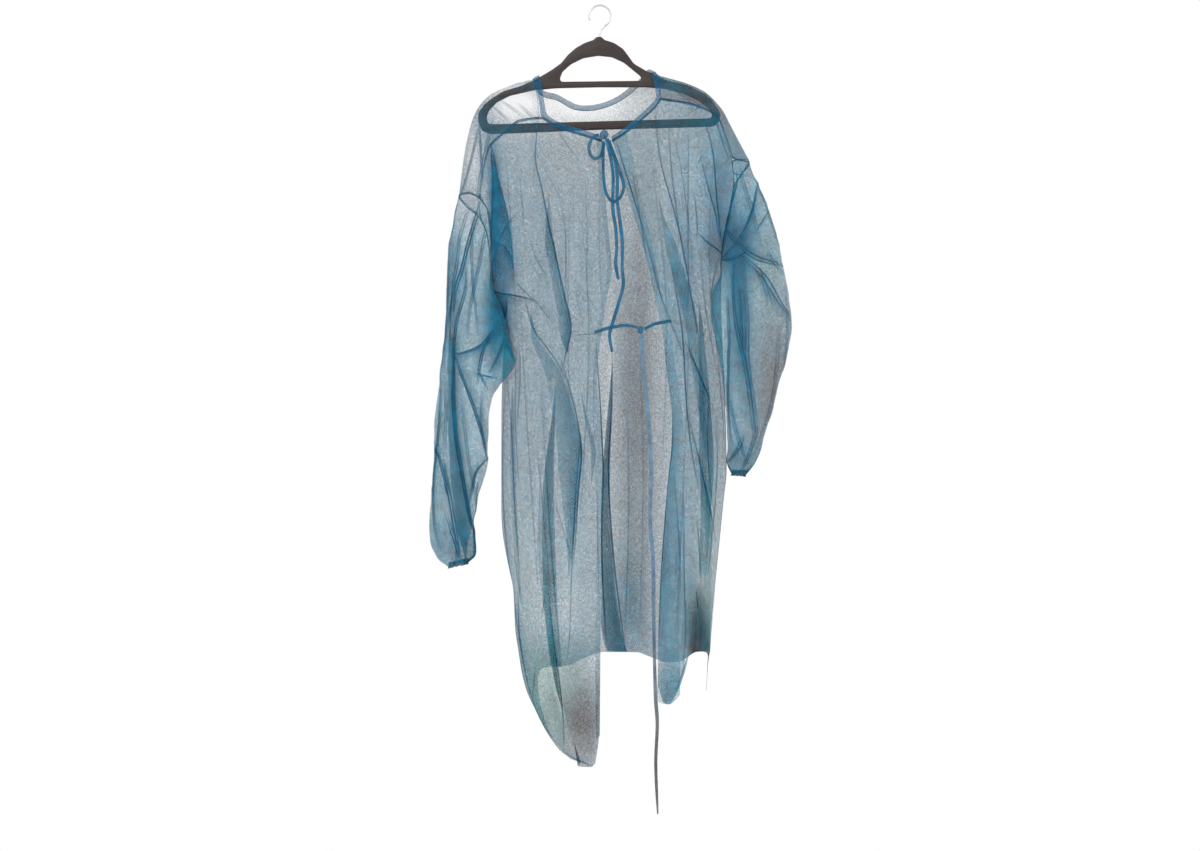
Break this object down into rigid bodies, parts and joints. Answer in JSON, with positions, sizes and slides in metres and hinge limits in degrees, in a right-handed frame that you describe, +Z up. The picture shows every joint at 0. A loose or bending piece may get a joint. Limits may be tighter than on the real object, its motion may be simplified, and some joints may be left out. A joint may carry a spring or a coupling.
{
  "type": "isolation gown on a hanger",
  "caption": "Disposable long-sleeved isolation gown in sheer blue nonwoven, back opening tied at the neck and waist, on a dark clothes hanger.",
  "frame": {"origin": "inside top of the hanger hook's curve, where it rests on a rail", "axes": "+Z up, the way the hook is held; +X along the hanger to the right as the gown's open back is seen; +Y from the open back to the front panel"},
  "size_m": [0.6684, 0.1494, 1.4798],
  "materials": {
    "gown_fabric": "thin sheer nonwoven, slightly crumpled, soft sheen",
    "cuff_elastic": "gathered elastic edge",
    "tie_fabric": "folded nonwoven strip",
    "hanger_plastic": "dark brown, smooth",
    "hook_metal": "bright steel wire"
  },
  "bodies": {
    "root": {"back_panel_left": "gown_fabric", "back_panel_right": "gown_fabric", "front_panel": "gown_fabric", "sleeve_left": "gown_fabric", "sleeve_right": "gown_fabric", "neck_binding": "gown_fabric", "cuff_left": "cuff_elastic", "cuff_right": "cuff_elastic", "neck_tie_knot": "tie_fabric", "neck_tie_loop_small": "tie_fabric", "neck_tie_loop_long": "tie_fabric", "neck_tie_tail_a": "tie_fabric", "neck_tie_tail_b": "tie_fabric", "waist_tie_knot": "tie_fabric", "waist_tie_left": "tie_fabric", "waist_tie_right": "tie_fabric", "waist_tie_tail": "tie_fabric", "hanger_frame": "hanger_plastic", "hanger_hook": "hook_metal"}
  },
  "joints": []
}
